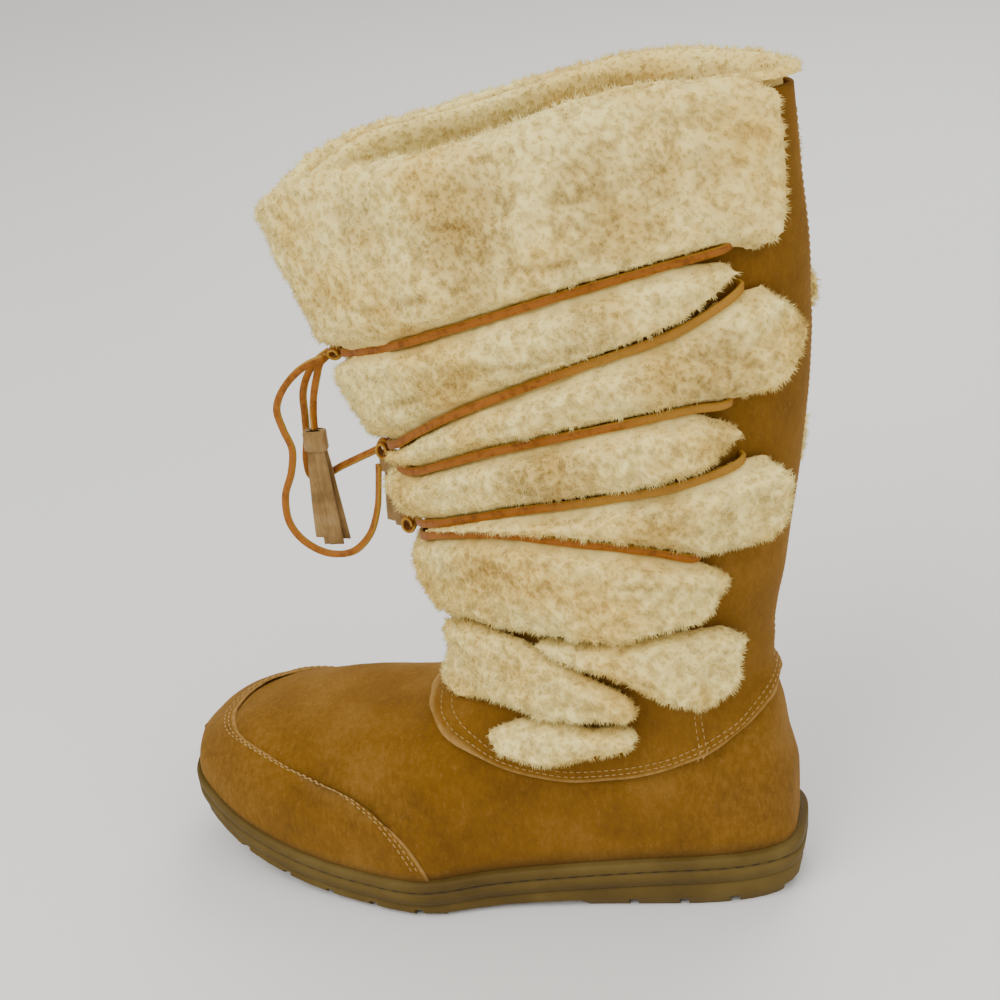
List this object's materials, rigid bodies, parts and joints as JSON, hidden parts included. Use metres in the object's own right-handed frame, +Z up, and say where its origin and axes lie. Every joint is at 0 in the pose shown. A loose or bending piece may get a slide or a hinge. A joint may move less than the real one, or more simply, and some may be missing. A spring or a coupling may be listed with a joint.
{
  "type": "mukluk boot",
  "caption": "Left mukluk boot with a suede foot and leg, sheepskin bands with the fleece outside, a wrapped leather lace with tassels, and a moulded rubber sole.",
  "frame": {"origin": "on the floor plane, in the middle of the flat heel tread", "axes": "the toe points along -X, the outer side of the left foot along -Y, +Z up"},
  "size_m": [0.2954, 0.1156, 0.3725],
  "materials": {
    "suede": "napped golden-brown suede",
    "fleece": "sheared cream fleece with tan patches",
    "lace_leather": "orange-brown leather with a golden suede edge",
    "tassel_leather": "dull tan suede strips",
    "sole_rubber": "matte greyish-tan rubber",
    "tread_rubber": "matte greyish-tan rubber"
  },
  "bodies": {
    "root": {"fleece_band_ankle": "fleece", "fleece_cuff": "fleece", "fleece_flap_heel_inner": "fleece", "fleece_flap_heel_outer": "fleece", "fleece_flap_instep_inner": "fleece", "fleece_flap_instep_outer": "fleece", "fleece_flap_skirt_inner": "fleece", "fleece_flap_skirt_outer": "fleece", "fleece_lobe_lower_inner": "fleece", "fleece_lobe_lower_outer": "fleece", "fleece_lobe_upper_inner": "fleece", "fleece_lobe_upper_outer": "fleece", "fleece_tongue_lower": "fleece", "fleece_tongue_upper": "fleece", "insole": "fleece", "lace_end_lower": "lace_leather", "lace_end_upper": "lace_leather", "lace_knot_lower": "lace_leather", "lace_knot_middle": "lace_leather", "lace_knot_top": "lace_leather", "lace_loop_inner": "lace_leather", "lace_loop_outer": "lace_leather", "lace_lower": "lace_leather", "lace_middle": "lace_leather", "lace_top": "lace_leather", "midsole": "sole_rubber", "outsole": "tread_rubber", "shaft": "suede", "tassel_lower": "tassel_leather", "tassel_upper": "tassel_leather", "upper": "suede"}
  },
  "joints": []
}
